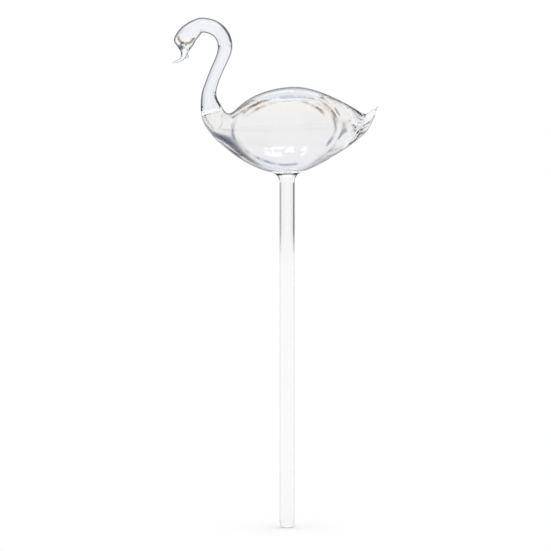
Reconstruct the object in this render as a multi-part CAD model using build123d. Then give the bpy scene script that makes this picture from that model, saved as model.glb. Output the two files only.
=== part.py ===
# Swan watering globe: a blown glass swan on a long hollow stem, filled and pushed into a plant pot.
# It is all clear glass worked in a flame. Each node is one worked element, and the elements
# meet face to face where they were fused. Nothing on it moves.
#
# Frame: +Z runs up the stem, the origin is the middle of the open mouth at its lower end, the swan
# looks along -X, and Y = 0 is its plane of symmetry. All sizes are in millimetres.

import os

from build123d import *

# The nozzle: the stem's lower end, drawn in and fire-polished to a round lip.
NOZZLE_LENGTH = 4.2
NOZZLE_RIM_DIAMETER = 7.1
NOZZLE_BORE_DIAMETER = 4.6
NOZZLE_THROAT_LENGTH = 2.0

# The stem: a length of stock tube.
STEM_DIAMETER = 8.0
STEM_WALL = 1.1
STEM_LENGTH = 177.2

# The seal: the stem's flared end and the boss of the bulb that it was fused to.
SEAL_HEIGHT = 4.8
SEAL_FILLET = 4.2
SEAL_LAND = 1.2

# The bulb: a blown body with an arched back. Its outlines run from the neck's weld to the tail's.
# Each point is a share of the bulb's length, from the stem's axis, and of its height, from the belly.
BULB_LENGTH = 81.0
BULB_HEIGHT = 46.0
BULB_WALL = 1.3
BULB_BACK_SHARES = (
    (-0.426, 0.780),
    (-0.394, 0.693),
    (-0.347, 0.714),
    (-0.275, 0.828),
    (-0.163, 0.928),
    (-0.027, 0.986),
    (0.102, 0.988),
    (0.222, 0.931),
    (0.326, 0.851),
    (0.407, 0.778),
)
BULB_BELLY_SHARES = (
    (-0.559, 0.711),
    (-0.543, 0.581),
    (-0.480, 0.424),
    (-0.393, 0.287),
    (-0.262, 0.119),
    (-0.086, 0.005),
    (0.083, 0.015),
    (0.226, 0.125),
    (0.326, 0.229),
    (0.397, 0.307),
)
# Each ring's width as a share of its height, and the share of its height that the glass, thicker
# near the welds, leaves to the hollow before the wall is taken off.
BULB_WIDTH_SHARES = (1.00, 1.00, 0.98, 0.96, 0.945, 0.935, 0.93, 0.925, 0.915, 0.90)
BULB_HOLLOW_SHARES = (1.00, 0.93, 0.86, 0.97, 1.00, 1.00, 1.00, 0.99, 0.86, 0.45)

# The drawn points of the tail and the bill end in a small melted ball, thicker than the glass that
# runs into it by this share.
BALL_NECK_SHARE = 0.85

# The tail: the drawn-out point behind the bulb, hollow at its root. Its points are shares of its
# reach behind the weld and of the weld's height, from the weld's lower edge.
TAIL_REACH = 14.8
TAIL_POINT_DIAMETER = 1.2
TAIL_BACK_SHARES = ((0.266, 0.888), (0.511, 0.796), (0.684, 0.840), (0.823, 0.917))
TAIL_BELLY_SHARES = ((0.248, 0.163), (0.528, 0.318), (0.723, 0.519), (0.865, 0.714))
TAIL_POINT_SHARE = (0.960, 0.945)
TAIL_WIDTH_SHARES = (0.86, 0.82, 0.85, 0.95)
TAIL_HOLLOW_SHARES = (0.28, 0.17, 0.08)

# The neck: a hollow tube in the curve of an S. Its middle line is in shares of its sweep and its
# rise, from the middle of the bulb's weld, and its thickness in shares of its diameter.
NECK_SWEEP = 7.5
NECK_RISE = 43.7
NECK_DIAMETER = 7.0
NECK_WALL = 1.1
NECK_LINE_SHARES = (
    (-0.115, 0.086),
    (-0.143, 0.185),
    (0.031, 0.294),
    (0.359, 0.444),
    (0.770, 0.600),
    (1.000, 0.744),
    (0.770, 0.879),
    (0.192, 0.970),
)
NECK_THICK_SHARES = (1.31, 1.09, 0.96, 0.95, 0.97, 1.11, 1.12, 1.14)
CROWN_LINE_SHARE = (-0.575, 1.000)
CROWN_THICK_SHARE = 1.125

# The head: the neck's closed end, solid below its hollow. Its points are shares of its length, from
# the crown's weld towards the face, and of its drop from the crown.
HEAD_LENGTH = 15.4
HEAD_DROP = 18.8
HEAD_FACE_SHARES = (
    (0.222, 0.034),
    (0.443, 0.112),
    (0.682, 0.240),
    (0.876, 0.413),
    (0.982, 0.603),
    (0.948, 0.726),
    (0.832, 0.849),
    (0.740, 1.000),
)
HEAD_JAW_SHARES = (
    (0.075, 0.483),
    (0.150, 0.556),
    (0.218, 0.628),
    (0.273, 0.698),
    (0.317, 0.774),
    (0.375, 0.832),
    (0.443, 0.905),
    (0.501, 1.000),
)
HEAD_WIDTH_SHARES = (1.00, 0.98, 0.95, 0.91, 0.88, 0.85, 0.84, 0.88, 0.95)
HEAD_HOLLOW_SHARES = (1.00, 1.00, 1.00, 1.00, 1.00, 0.90, 0.50)

# The bill: a solid hook drawn from the head's lower end, and the bead under it. Their points are
# shares of the bill's length, from the jaw towards the point, and of its drop.
BILL_LENGTH = 8.2
BILL_DROP = 5.0
BILL_POINT_DIAMETER = 0.8
BILL_FACE_SHARES = ((0.474, 0.375), (0.558, 0.573), (0.712, 0.719), (0.878, 0.823))
BILL_THROAT_SHARES = ((0.122, 0.417), (0.263, 0.646), (0.442, 0.833), (0.660, 0.969))
BILL_POINT_SHARE = (0.950, 0.950)
BILL_WIDTH_SHARES = (0.95, 0.90, 0.85, 0.80)
CHIN_BEAD_DIAMETER = 1.9
CHIN_BEAD_SHARE = (0.071, 0.302)

# Places that follow from the sizes above.
UPWARDS = Vector(0, 0, 1)
SIDEWAYS = Vector(0, 1, 0)
FORWARDS = Vector(-1, 0, 0)
STEM_RADIUS = STEM_DIAMETER / 2
STEM_BORE_RADIUS = STEM_RADIUS - STEM_WALL
STEM_TOP = NOZZLE_LENGTH + STEM_LENGTH
BELLY = STEM_TOP + SEAL_HEIGHT
SEAL_RADIUS = STEM_RADIUS + SEAL_FILLET + SEAL_LAND


def side_point(x, z):
    """A point in the plane of symmetry."""
    return Vector(x, 0, z)


def place(share, start, reach, rise):
    """A point whose shares run along X with the reach and along Z with the rise."""
    return start + side_point(share[0] * reach, share[1] * rise)


def outline(shares, start, reach, rise):
    """The points of an outline."""
    return [place(share, start, reach, rise) for share in shares]


def oval(plane, half_height, half_width):
    """An oval face, drawn as four arcs so that a loft doesn't twist."""
    arcs = [Edge.make_ellipse(half_height, half_width, plane, start, start + 90) for start in (0, 90, 180, 270)]
    return Face(Wire(arcs))


def ring(upper, lower, width_share, hollow_share=1, wall=0):
    """The face of a ring between an upper and a lower point, or of the hollow inside it."""
    across = upper - lower
    half_height = across.length / 2 * hollow_share - wall
    plane = Plane(origin=(upper + lower) / 2, x_dir=across, z_dir=across.cross(SIDEWAYS))
    return oval(plane, half_height, half_height * width_share)


def rings(uppers, lowers, *shares_and_walls):
    """The faces of a row of rings."""
    return [ring(*sizes) for sizes in zip(uppers, lowers, *shares_and_walls)]


def round_face(middle, along, radius):
    """A round face square to a direction in the plane of symmetry."""
    return oval(Plane(origin=middle, x_dir=SIDEWAYS.cross(along), z_dir=along), radius, radius)


def pointed(faces, point, along, ball_diameter):
    """The solid through a row of faces that runs out to a point and ends in a ball."""
    neck = round_face(point, along, ball_diameter / 2 * BALL_NECK_SHARE)
    return loft(faces + [neck]) + Pos(point) * Sphere(ball_diameter / 2)


def turned(*edges):
    """The solid that an outline in the plane of symmetry sweeps round the stem's axis."""
    return revolve(make_face(edges), Axis.Z)


def nozzle():
    rim_radius = NOZZLE_RIM_DIAMETER / 2
    bore_radius = NOZZLE_BORE_DIAMETER / 2
    lip_radius = (rim_radius - bore_radius) / 2
    rim = side_point(rim_radius, lip_radius)
    lip = side_point(bore_radius + lip_radius, 0)
    mouth = side_point(bore_radius, lip_radius)
    throat = side_point(bore_radius, NOZZLE_THROAT_LENGTH)
    shoulder = side_point(STEM_RADIUS, NOZZLE_LENGTH)
    inside = side_point(STEM_BORE_RADIUS, NOZZLE_LENGTH)
    return turned(
        ThreePointArc(mouth, lip, rim),
        Spline(rim, shoulder, tangents=(UPWARDS, UPWARDS)),
        Line(shoulder, inside),
        Spline(inside, throat, tangents=(-UPWARDS, -UPWARDS)),
        Line(throat, mouth),
    )


def stem():
    tube = Cylinder(STEM_RADIUS, STEM_LENGTH) - Cylinder(STEM_BORE_RADIUS, STEM_LENGTH)
    return Pos(0, 0, NOZZLE_LENGTH + STEM_LENGTH / 2) * tube


def bulb_points():
    """The outlines of the bulb's back and belly."""
    start = side_point(0, BELLY)
    return (
        outline(BULB_BACK_SHARES, start, BULB_LENGTH, BULB_HEIGHT),
        outline(BULB_BELLY_SHARES, start, BULB_LENGTH, BULB_HEIGHT),
    )


def is_weld(edge):
    """Whether an edge is the one where the stem meets the belly."""
    size = edge.bounding_box().size
    return edge.center().Z > STEM_TOP and abs(size.X - STEM_DIAMETER) < STEM_WALL


def bulb_and_seal():
    """The bulb, and the seal that a round cut about the stem's axis parts from it."""
    backs, bellies = bulb_points()
    walls = [NECK_WALL] + [BULB_WALL] * (len(backs) - 1)
    body = loft(rings(backs, bellies, BULB_WIDTH_SHARES))
    hollow = loft(rings(backs, bellies, BULB_WIDTH_SHARES, BULB_HOLLOW_SHARES, walls))

    height = BELLY + BULB_HEIGHT / 2 - STEM_TOP
    upright = Pos(0, 0, STEM_TOP + height / 2)
    joined = body + upright * Cylinder(STEM_RADIUS, height)
    joined = fillet([edge for edge in joined.edges() if is_weld(edge)], SEAL_FILLET)
    joined = joined - hollow - upright * Cylinder(STEM_BORE_RADIUS, height)
    boss = upright * Cylinder(SEAL_RADIUS, height)
    return joined - boss, joined & boss


def tail():
    backs, bellies = bulb_points()
    start = side_point(backs[-1].X, bellies[-1].Z)
    rise = backs[-1].Z - bellies[-1].Z
    uppers = outline(TAIL_BACK_SHARES, start, TAIL_REACH, rise)
    lowers = outline(TAIL_BELLY_SHARES, start, TAIL_REACH, rise)
    point = place(TAIL_POINT_SHARE, start, TAIL_REACH, rise)
    along = (uppers[-1] + lowers[-1]) / 2 - point

    weld = ring(backs[-1], bellies[-1], BULB_WIDTH_SHARES[-1])
    outer_rings = rings(uppers, lowers, TAIL_WIDTH_SHARES)
    outside = pointed([weld] + outer_rings, point, along, TAIL_POINT_DIAMETER)

    hollow_weld = ring(backs[-1], bellies[-1], BULB_WIDTH_SHARES[-1], BULB_HOLLOW_SHARES[-1], BULB_WALL)
    hollow_rings = rings(uppers, lowers, TAIL_WIDTH_SHARES, TAIL_HOLLOW_SHARES)
    return outside - loft([hollow_weld] + hollow_rings)


def crown_middle():
    """The middle of the weld between the neck and the head."""
    backs, bellies = bulb_points()
    return place(CROWN_LINE_SHARE, (backs[0] + bellies[0]) / 2, NECK_SWEEP, NECK_RISE)


def neck_tube(wall):
    """The neck's outside, or its hollow where the wall is given."""
    backs, bellies = bulb_points()
    root = (backs[0] + bellies[0]) / 2
    line = [root] + outline(NECK_LINE_SHARES, root, NECK_SWEEP, NECK_RISE) + [crown_middle()]
    faces = [ring(backs[0], bellies[0], BULB_WIDTH_SHARES[0], 1, wall)]
    for before, middle, after, share in zip(line, line[1:], line[2:], NECK_THICK_SHARES):
        faces.append(round_face(middle, after - before, NECK_DIAMETER * share / 2 - wall))
    faces.append(round_face(line[-1], FORWARDS, NECK_DIAMETER * CROWN_THICK_SHARE / 2 - wall))
    return loft(faces)


def neck():
    return neck_tube(0) - neck_tube(NECK_WALL)


def head_points():
    """The outlines of the head's face and jaw, which start at the crown's weld."""
    crown = crown_middle()
    radius = NECK_DIAMETER * CROWN_THICK_SHARE / 2
    start = crown + UPWARDS * radius
    faces = outline(HEAD_FACE_SHARES, start, -HEAD_LENGTH, -HEAD_DROP)
    jaws = outline(HEAD_JAW_SHARES, start, -HEAD_LENGTH, -HEAD_DROP)
    return [start] + faces, [crown - UPWARDS * radius] + jaws


def head():
    faces, jaws = head_points()
    walls = [NECK_WALL] * len(HEAD_HOLLOW_SHARES)
    hollow = loft(rings(faces, jaws, HEAD_WIDTH_SHARES, HEAD_HOLLOW_SHARES, walls))
    return loft(rings(faces, jaws, HEAD_WIDTH_SHARES)) - hollow


def bill_and_bead(head_glass):
    """The hook, and the bead that fills the corner under it without entering the head or the hook."""
    head_faces, head_jaws = head_points()
    root_jaw = head_jaws[-1]
    uppers = outline(BILL_FACE_SHARES, root_jaw, -BILL_LENGTH, -BILL_DROP)
    lowers = outline(BILL_THROAT_SHARES, root_jaw, -BILL_LENGTH, -BILL_DROP)
    point = place(BILL_POINT_SHARE, root_jaw, -BILL_LENGTH, -BILL_DROP)
    along = point - (uppers[-1] + lowers[-1]) / 2
    root = ring(head_faces[-1], root_jaw, HEAD_WIDTH_SHARES[-1])
    hook = pointed([root] + rings(uppers, lowers, BILL_WIDTH_SHARES), point, along, BILL_POINT_DIAMETER)
    bead = Pos(place(CHIN_BEAD_SHARE, root_jaw, -BILL_LENGTH, -BILL_DROP)) * Sphere(CHIN_BEAD_DIAMETER / 2)
    return hook, bead - hook - head_glass


bulb, seal = bulb_and_seal()
head_glass = head()
bill, chin_bead = bill_and_bead(head_glass)
nodes = {
    "nozzle": nozzle(),
    "stem_tube": stem(),
    "stem_seal": seal,
    "body_bulb": bulb,
    "tail_point": tail(),
    "neck_tube": neck(),
    "head_bulb": head_glass,
    "bill_hook": bill,
    "chin_bead": chin_bead,
}

os.makedirs("parts", exist_ok=True)
for name, shape in nodes.items():
    shape.label = name
    export_step(shape, f"parts/{name}.step")
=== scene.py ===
# A watering globe in the form of a swan: clear lamp-worked glass on a long hollow stem, filled with
# water. Lengths are in metres. The stem runs up the Z axis and the swan looks along -X.
import math

import bpy
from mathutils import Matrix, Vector


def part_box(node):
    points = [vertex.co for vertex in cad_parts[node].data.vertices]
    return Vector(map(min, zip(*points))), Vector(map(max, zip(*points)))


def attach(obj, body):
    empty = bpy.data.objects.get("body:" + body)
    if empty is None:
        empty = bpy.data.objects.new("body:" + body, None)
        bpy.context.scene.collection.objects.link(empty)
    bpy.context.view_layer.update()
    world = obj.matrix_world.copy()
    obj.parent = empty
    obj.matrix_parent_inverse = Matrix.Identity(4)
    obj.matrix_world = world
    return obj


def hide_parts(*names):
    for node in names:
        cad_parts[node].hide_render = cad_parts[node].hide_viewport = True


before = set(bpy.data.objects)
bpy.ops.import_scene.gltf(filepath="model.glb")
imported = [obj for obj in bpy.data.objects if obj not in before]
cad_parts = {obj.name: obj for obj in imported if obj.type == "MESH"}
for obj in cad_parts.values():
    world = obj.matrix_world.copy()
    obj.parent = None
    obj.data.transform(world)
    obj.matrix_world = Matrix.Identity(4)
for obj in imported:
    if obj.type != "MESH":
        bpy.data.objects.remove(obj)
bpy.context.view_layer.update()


# The stem
# A length of clear borosilicate stock tube, open right through. Its bore stands full of water, so
# the light hardly bends there. Where it is fused to the next piece, no surface is seen.
STEM_LOW, STEM_TOP = (corner.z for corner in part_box("stem_tube"))
STEM_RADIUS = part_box("stem_tube")[1].x
STEM_BORE_RADIUS = 0.0029
GLASS_REFRACTION = 1.47
WATER_REFRACTION = 1.333
GLASS_IN_WATER = GLASS_REFRACTION / WATER_REFRACTION
CLEAR = (0.965, 0.967, 0.972, 1)
# The stem's outline is painted shade: a faint grey in its colour where the glass is seen at a slant.
FAINT_SLANTS = (0.35, 0.80)
FAINT_EDGE = (0.58, 0.59, 0.62, 1)
RIPPLE = 0.1
WAVE_SCALE = 90.0
WAVE_DETAIL = 1.5
WAVE_DEPTH = 0.0002
SKIN_SIDES = 64
ON_RIM = 1e-6
SMOOTH_UP_TO = math.radians(40)
UPRIGHT = Vector((0, 1))


def start_effect(name, output, *inputs):
    """A node group with named inputs and one output, and the nodes at its two ends."""
    effect = bpy.data.node_groups.new(name, "ShaderNodeTree")
    for socket in inputs:
        effect.interface.new_socket(socket, in_out="INPUT", socket_type="NodeSocketFloat")
    effect.interface.new_socket(output, in_out="OUTPUT", socket_type="NodeSocketFloat")
    return effect, effect.nodes.new("NodeGroupInput"), effect.nodes.new("NodeGroupOutput")


# The slight waves of hand-worked glass, which each glass takes with a strength of its own.
hand_waves, wave_in, wave_out = start_effect("hand_waves", "Height", "Scale")
wave_place = hand_waves.nodes.new("ShaderNodeTexCoord")
wave_noise = hand_waves.nodes.new("ShaderNodeTexNoise")
wave_noise.inputs["Detail"].default_value = WAVE_DETAIL
hand_waves.links.new(wave_place.outputs["Object"], wave_noise.inputs["Vector"])
hand_waves.links.new(wave_in.outputs["Scale"], wave_noise.inputs["Scale"])
hand_waves.links.new(wave_noise.outputs["Fac"], wave_out.inputs["Height"])


def clear_stuff(name, refraction, tint, slants=None, edge=None, ripple=RIPPLE):
    """A clear material. Its tint turns to its edge's painted shade between two slants, from 0, square on,
    to 1, which draws a dark outline where the glass is seen at a slant.
    """
    material = bpy.data.materials.new(name)
    material.use_nodes = True
    tree = material.node_tree
    shader = tree.nodes["Principled BSDF"]
    shader.inputs["Roughness"].default_value = 0.0
    shader.inputs["Transmission Weight"].default_value = 1.0
    shader.inputs["IOR"].default_value = refraction
    shader.inputs["Base Color"].default_value = tint
    # Painted shade: the colour darkens to the edge's shade where the surface is seen at a slant.
    if slants:
        facing = tree.nodes.new("ShaderNodeLayerWeight")
        shade = tree.nodes.new("ShaderNodeValToRGB")
        for element, slant, colour in zip(shade.color_ramp.elements, slants, (tint, edge)):
            element.position = slant
            element.color = colour
        tree.links.new(facing.outputs["Facing"], shade.inputs["Fac"])
        tree.links.new(shade.outputs["Color"], shader.inputs["Base Color"])
    if ripple:
        waves = tree.nodes.new("ShaderNodeGroup")
        waves.node_tree = hand_waves
        waves.inputs["Scale"].default_value = WAVE_SCALE
        bump = tree.nodes.new("ShaderNodeBump")
        bump.inputs["Strength"].default_value = ripple
        bump.inputs["Distance"].default_value = WAVE_DEPTH
        tree.links.new(waves.outputs["Height"], bump.inputs["Height"])
        tree.links.new(bump.outputs["Normal"], shader.inputs["Normal"])
    return material


def round_ring(middle, along, radius):
    upwards = Vector((along.y, -along.x)).normalized() * radius
    return Vector((*middle, *upwards, radius))


def upright_run(sizes):
    """Round rings about the stem's axis, from pairs of a radius and a height."""
    return [round_ring(Vector((0, height)), UPRIGHT, radius) for radius, height in sizes]


def at_height(height):
    return lambda point: abs(point.z - height) < ON_RIM


def start_piece():
    """Nothing selected, so that a new primitive is alone."""
    bpy.ops.object.select_all(action="DESELECT")


def draw_skin(name, run, close=False):
    """The open skin through a row of rings, closed at its last ring where wanted."""
    start_piece()
    x, z, up_x, up_z, half_width = run[0]
    tilt = math.atan2(-up_z, up_x)
    half_height = math.hypot(up_x, up_z)
    bpy.ops.mesh.primitive_circle_add(
        vertices=SKIN_SIDES, radius=half_height, location=(x, 0, z), rotation=(0, tilt, 0)
    )
    bpy.ops.object.transform_apply()
    skin = bpy.context.object
    skin.name = name
    bpy.ops.object.mode_set(mode="EDIT")
    bpy.ops.mesh.select_mode(type="VERT")
    bpy.ops.mesh.select_all(action="SELECT")
    bpy.ops.transform.resize(value=(1, half_width / half_height, 1), center_override=(x, 0, z))
    for after in run[1:]:
        step = (after[0] - x, 0, after[1] - z)
        bpy.ops.mesh.extrude_region_move(TRANSFORM_OT_translate={"value": step})
        x, z, up_x, up_z, new_half_width = after
        turn = math.remainder(math.atan2(-up_z, up_x) - tilt, 2 * math.pi)
        bpy.ops.transform.rotate(value=-turn, orient_axis="Y", center_override=(x, 0, z))
        tall = math.hypot(up_x, up_z) / half_height
        wide = new_half_width / half_width
        bpy.ops.transform.resize(value=(tall, wide, tall), center_override=(x, 0, z))
        tilt += turn
        half_height *= tall
        half_width = new_half_width
    if close:
        bpy.ops.mesh.edge_face_add()
    bpy.ops.object.mode_set(mode="OBJECT")
    return skin


def wear(piece, *materials):
    for material in materials:
        piece.data.materials.append(material)


def line_with(piece, inner):
    """Turns an inner skin over and joins it to the piece."""
    start_piece()
    inner.select_set(True)
    bpy.context.view_layer.objects.active = inner
    bpy.ops.object.mode_set(mode="EDIT")
    bpy.ops.mesh.select_all(action="SELECT")
    bpy.ops.mesh.flip_normals()
    bpy.ops.object.mode_set(mode="OBJECT")
    piece.select_set(True)
    bpy.context.view_layer.objects.active = piece
    bpy.ops.object.join()


def select_rim(piece, on_rim):
    """Selects the open edges whose two ends lie on a rim, in edit mode."""
    bpy.context.view_layer.objects.active = piece
    bpy.ops.object.mode_set(mode="EDIT")
    bpy.ops.mesh.select_mode(type="EDGE")
    bpy.ops.mesh.select_all(action="DESELECT")
    bpy.ops.mesh.select_non_manifold(
        extend=False, use_wire=True, use_boundary=True, use_multi_face=False,
        use_non_contiguous=False, use_verts=False,
    )
    bpy.ops.object.mode_set(mode="OBJECT")
    points = piece.data.vertices
    for edge in piece.data.edges:
        edge.select = edge.select and all(on_rim(points[i].co) for i in edge.vertices)
    bpy.ops.object.mode_set(mode="EDIT")


def close_seam(piece, on_rim):
    """Closes the wall between an outer and an inner rim, or over one rim, with the unseen seam."""
    select_rim(piece, on_rim)
    loops = sum(edge.select for edge in piece.data.edges) // SKIN_SIDES
    if loops == 1:
        bpy.ops.mesh.edge_face_add()
    else:
        bpy.ops.mesh.bridge_edge_loops()
    piece.active_material_index = piece.data.materials.find(fused_seam.name)
    bpy.ops.object.material_slot_assign()
    bpy.ops.object.mode_set(mode="OBJECT")


def turn_outwards(piece):
    """Turns all faces of a closed piece outwards, so that its highest one looks up."""
    start_piece()
    piece.select_set(True)
    bpy.context.view_layer.objects.active = piece
    bpy.ops.object.mode_set(mode="EDIT")
    bpy.ops.mesh.select_all(action="SELECT")
    bpy.ops.mesh.normals_make_consistent(inside=False)
    bpy.ops.object.mode_set(mode="OBJECT")
    if max(piece.data.polygons, key=lambda face: face.center.z).normal.z < 0:
        bpy.ops.object.mode_set(mode="EDIT")
        bpy.ops.mesh.flip_normals()
        bpy.ops.object.mode_set(mode="OBJECT")


def finish_piece(piece, *nodes):
    """A finished piece: closed, smooth but for its seams, and in the nodes' place on the one body."""
    turn_outwards(piece)
    bpy.ops.object.shade_smooth_by_angle(angle=SMOOTH_UP_TO)
    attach(piece, "root")
    if nodes:
        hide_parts(*nodes)


# The stem and the nozzle carry the faint painted shade along their outlines.
stem_glass = clear_stuff("stem_glass", GLASS_REFRACTION, CLEAR, FAINT_SLANTS, FAINT_EDGE)
wet_bore = clear_stuff("wet_bore", GLASS_IN_WATER, CLEAR)
fused_seam = bpy.data.materials.new("fused_seam")
fused_seam.use_nodes = True
fused_seam.node_tree.nodes["Principled BSDF"].inputs["Alpha"].default_value = 0.0

stem = draw_skin("stem_tube_glass", upright_run([(STEM_RADIUS, STEM_LOW), (STEM_RADIUS, STEM_TOP)]))
wear(stem, stem_glass, fused_seam)
stem_bore = draw_skin(
    "stem_bore", upright_run([(STEM_BORE_RADIUS, STEM_LOW), (STEM_BORE_RADIUS, STEM_TOP)])
)
wear(stem_bore, wet_bore)
line_with(stem, stem_bore)
close_seam(stem, at_height(STEM_LOW))
close_seam(stem, at_height(STEM_TOP))
finish_piece(stem, "stem_tube")


# The nozzle
# The stem's lower end, drawn in and fire-polished to a round lip. It stays open, and the water hangs
# just inside it.
NOZZLE_RIM_RADIUS = 0.00355
NOZZLE_BORE_RADIUS = 0.0023
NOZZLE_THROAT = 0.0020
NOZZLE_STEPS = 8
LIP_STEP = 15
WATER_LOW = 0.0003
LIP_RADIUS = (NOZZLE_RIM_RADIUS - NOZZLE_BORE_RADIUS) / 2


def eased(first, last, steps):
    """Values that leave the first and reach the last gently."""
    shares = [(1 - math.cos(math.pi * step / steps)) / 2 for step in range(steps + 1)]
    return [first + (last - first) * share for share in shares]


def even(first, last, steps):
    return [first + (last - first) * step / steps for step in range(steps + 1)]


nozzle_sizes = list(zip(
    eased(STEM_RADIUS, NOZZLE_RIM_RADIUS, NOZZLE_STEPS), even(STEM_LOW, LIP_RADIUS, NOZZLE_STEPS)
))
for angle in range(LIP_STEP, 180, LIP_STEP):
    lip_radius = NOZZLE_BORE_RADIUS + LIP_RADIUS * (1 + math.cos(math.radians(angle)))
    nozzle_sizes.append((lip_radius, LIP_RADIUS * (1 - math.sin(math.radians(angle)))))
nozzle_sizes += [(NOZZLE_BORE_RADIUS, LIP_RADIUS), (NOZZLE_BORE_RADIUS, NOZZLE_THROAT)]
bore_sizes = list(zip(
    eased(NOZZLE_BORE_RADIUS, STEM_BORE_RADIUS, NOZZLE_STEPS), even(NOZZLE_THROAT, STEM_LOW, NOZZLE_STEPS)
))
nozzle_sizes += bore_sizes[1:]
nozzle = draw_skin("nozzle_glass", upright_run(nozzle_sizes))
wear(nozzle, stem_glass, fused_seam, wet_bore)
for face in nozzle.data.polygons:
    if face.center.z > WATER_LOW and face.center.to_2d().length < NOZZLE_BORE_RADIUS + LIP_RADIUS:
        face.material_index = nozzle.data.materials.find(wet_bore.name)
close_seam(nozzle, at_height(STEM_LOW))
finish_piece(nozzle, "nozzle")


# The swan's outlines
# The swan is blown and drawn from one gather, so its pieces share one outside and one hollow. Both
# are rows of oval rings, each between an upper and a lower point in the plane of symmetry. A point is
# given as shares of its own piece's length and height.
SEAL_HEIGHT = 0.0048
BULB_LENGTH = 0.081
BULB_HEIGHT = 0.046
BULB_WALL = 0.0013
BULB_BACK_SHARES = (
    (-0.426, 0.780),
    (-0.394, 0.693),
    (-0.347, 0.714),
    (-0.275, 0.828),
    (-0.163, 0.928),
    (-0.027, 0.986),
    (0.102, 0.988),
    (0.222, 0.931),
    (0.326, 0.851),
    (0.407, 0.778),
)
BULB_BELLY_SHARES = (
    (-0.559, 0.711),
    (-0.543, 0.581),
    (-0.480, 0.424),
    (-0.393, 0.287),
    (-0.262, 0.119),
    (-0.086, 0.005),
    (0.083, 0.015),
    (0.226, 0.125),
    (0.326, 0.229),
    (0.397, 0.307),
)
BULB_WIDTH_SHARES = (1.00, 1.00, 0.98, 0.96, 0.945, 0.935, 0.93, 0.925, 0.915, 0.90)
BULB_HOLLOW_SHARES = (1.00, 0.93, 0.86, 0.97, 1.00, 1.00, 1.00, 0.99, 0.86, 0.45)
TAIL_REACH = 0.0148
TAIL_BACK_SHARES = ((0.266, 0.888), (0.511, 0.796), (0.684, 0.840), (0.823, 0.917))
TAIL_BELLY_SHARES = ((0.248, 0.163), (0.528, 0.318), (0.723, 0.519), (0.865, 0.714))
TAIL_WIDTH_SHARES = (0.86, 0.82, 0.85, 0.95)
TAIL_HOLLOW_SHARES = (0.28, 0.17, 0.08)
TAIL_POINT_SHARE = (0.960, 0.945)
TAIL_POINT_RADIUS = 0.0006
NECK_SWEEP = 0.0075
NECK_RISE = 0.0437
NECK_RADIUS = 0.0035
NECK_WALL = 0.0011
NECK_LINE_SHARES = (
    (-0.115, 0.086),
    (-0.143, 0.185),
    (0.031, 0.294),
    (0.359, 0.444),
    (0.770, 0.600),
    (1.000, 0.744),
    (0.770, 0.879),
    (0.192, 0.970),
    (-0.575, 1.000),
)
NECK_THICK_SHARES = (1.31, 1.09, 0.96, 0.95, 0.97, 1.11, 1.12, 1.14, 1.125)
HEAD_LENGTH = 0.0154
HEAD_DROP = 0.0188
HEAD_FACE_SHARES = (
    (0.222, 0.034),
    (0.443, 0.112),
    (0.682, 0.240),
    (0.876, 0.413),
    (0.982, 0.603),
    (0.948, 0.726),
    (0.832, 0.849),
    (0.740, 1.000),
)
HEAD_JAW_SHARES = (
    (0.075, 0.483),
    (0.150, 0.556),
    (0.218, 0.628),
    (0.273, 0.698),
    (0.317, 0.774),
    (0.375, 0.832),
    (0.443, 0.905),
    (0.501, 1.000),
)
HEAD_WIDTH_SHARES = (0.98, 0.95, 0.91, 0.88, 0.85, 0.84, 0.88, 0.95)
HEAD_HOLLOW_SHARES = (1.00, 1.00, 1.00, 1.00, 0.90, 0.50)
BILL_LENGTH = 0.0082
BILL_DROP = 0.0050
BILL_FACE_SHARES = ((0.474, 0.375), (0.558, 0.573), (0.712, 0.719), (0.878, 0.823))
BILL_THROAT_SHARES = ((0.122, 0.417), (0.263, 0.646), (0.442, 0.833), (0.660, 0.969))
BILL_WIDTH_SHARES = (0.95, 0.90, 0.85, 0.80)
BILL_POINT_SHARE = (0.950, 0.950)
BILL_POINT_RADIUS = 0.0004
SKIN_STEPS = 8
DOME_ANGLES = (25, 50, 70, 85)
NEAR_RIM = 6e-4


def outline(shares, start, reach, rise):
    return [start + Vector((x * reach, z * rise)) for x, z in shares]


def ring(upper, lower, width_share, hollow_share=1, wall=0):
    """A ring's middle, the arrow from it to the ring's upper point, and half of its width."""
    middle = (upper + lower) / 2
    arrow = (upper - lower) / 2
    arrow *= hollow_share - wall / arrow.length
    return Vector((*middle, *arrow, arrow.length * width_share))


belly = Vector((0, STEM_TOP + SEAL_HEIGHT))
backs = outline(BULB_BACK_SHARES, belly, BULB_LENGTH, BULB_HEIGHT)
bellies = outline(BULB_BELLY_SHARES, belly, BULB_LENGTH, BULB_HEIGHT)

tail_start = Vector((backs[-1].x, bellies[-1].y))
tail_rise = backs[-1].y - bellies[-1].y
tail_backs = outline(TAIL_BACK_SHARES, tail_start, TAIL_REACH, tail_rise)
tail_bellies = outline(TAIL_BELLY_SHARES, tail_start, TAIL_REACH, tail_rise)
tail_point = outline([TAIL_POINT_SHARE], tail_start, TAIL_REACH, tail_rise)[0]

neck_root = (backs[0] + bellies[0]) / 2
neck_line = [neck_root] + outline(NECK_LINE_SHARES, neck_root, NECK_SWEEP, NECK_RISE)
neck_line.append(neck_line[-1] + Vector((-1, 0)) * (neck_line[-1] - neck_line[-2]).length)
neck_ways = [after - before for before, after in zip(neck_line, neck_line[2:])]
neck_ways[-1] = Vector((-1, 0))

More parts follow.
